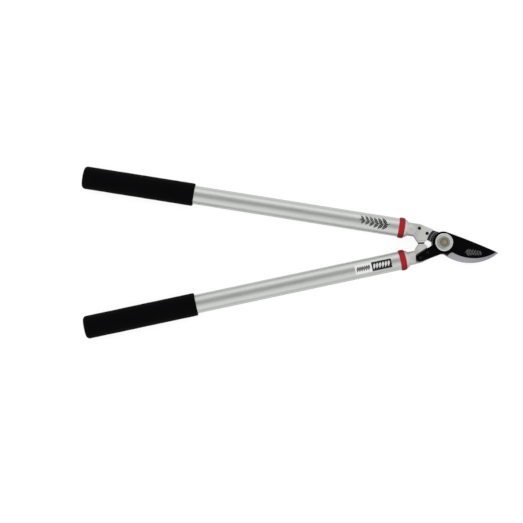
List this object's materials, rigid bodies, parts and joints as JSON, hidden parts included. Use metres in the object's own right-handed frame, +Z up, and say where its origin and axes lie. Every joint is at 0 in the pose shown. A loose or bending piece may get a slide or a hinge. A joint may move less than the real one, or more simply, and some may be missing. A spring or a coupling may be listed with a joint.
{
  "type": "bypass loppers",
  "caption": "Two-handed bypass loppers, closed: curved blade sliding past a hook, oval aluminium tubes, red collars and foam grips.",
  "frame": {"origin": "middle of the bottom of the bounding box of the closed tool, which is also the plane that the grips and the bolt's head rest on", "axes": "+X along the line that halves the angle between the handles, toward the blade's tip; +Y toward the hook's handle; +Z up through the pivot bolt, out of the blade's side"},
  "size_m": [0.6424, 0.2676, 0.027],
  "materials": {
    "hook_steel": "satin dark coating",
    "blade_steel": "low-friction black coating, ground bevel bare",
    "tube_aluminium": "satin silver anodised",
    "red_plastic": "semi-gloss",
    "grip_foam": "matt foam",
    "plug_plastic": "matt",
    "cast_aluminium": "satin die-cast, silver lacquer",
    "pin_steel": "zinc plated",
    "bumper_rubber": "matt",
    "black_rivet": "black oxide",
    "bolt_steel": "yellow-passivated zinc",
    "nut_steel": "turned, bright zinc",
    "nylon": "natural nylon",
    "washer_plastic": "acetal, black",
    "bronze": "sintered bronze"
  },
  "bodies": {
    "hook_handle": {"hook": "hook_steel", "tube_upper": "tube_aluminium", "collar_upper": "red_plastic", "grip_upper": "grip_foam", "end_plug_upper": "plug_plastic", "socket_upper": "cast_aluminium", "socket_pin_upper": "pin_steel", "bumper_upper": "bumper_rubber", "hook_rivets": "black_rivet", "pivot_bolt": "bolt_steel", "pivot_nut": "nut_steel", "lock_ring": "nylon", "friction_washer": "washer_plastic", "pivot_bush": "bronze", "head_washer": "pin_steel"},
    "blade_handle": {"blade": "blade_steel", "tube_lower": "tube_aluminium", "collar_lower": "red_plastic", "grip_lower": "grip_foam", "end_plug_lower": "plug_plastic", "socket_lower": "cast_aluminium", "socket_pin_lower": "pin_steel", "bumper_lower": "bumper_rubber", "blade_rivets": "black_rivet"}
  },
  "joints": [
    {"name": "pivot", "type": "hinge", "parent": "hook_handle", "child": "blade_handle", "pos_m": [0.23737, 0, 0.0135], "axis": [0, 0, 1], "range_deg": [0, 70]}
  ]
}
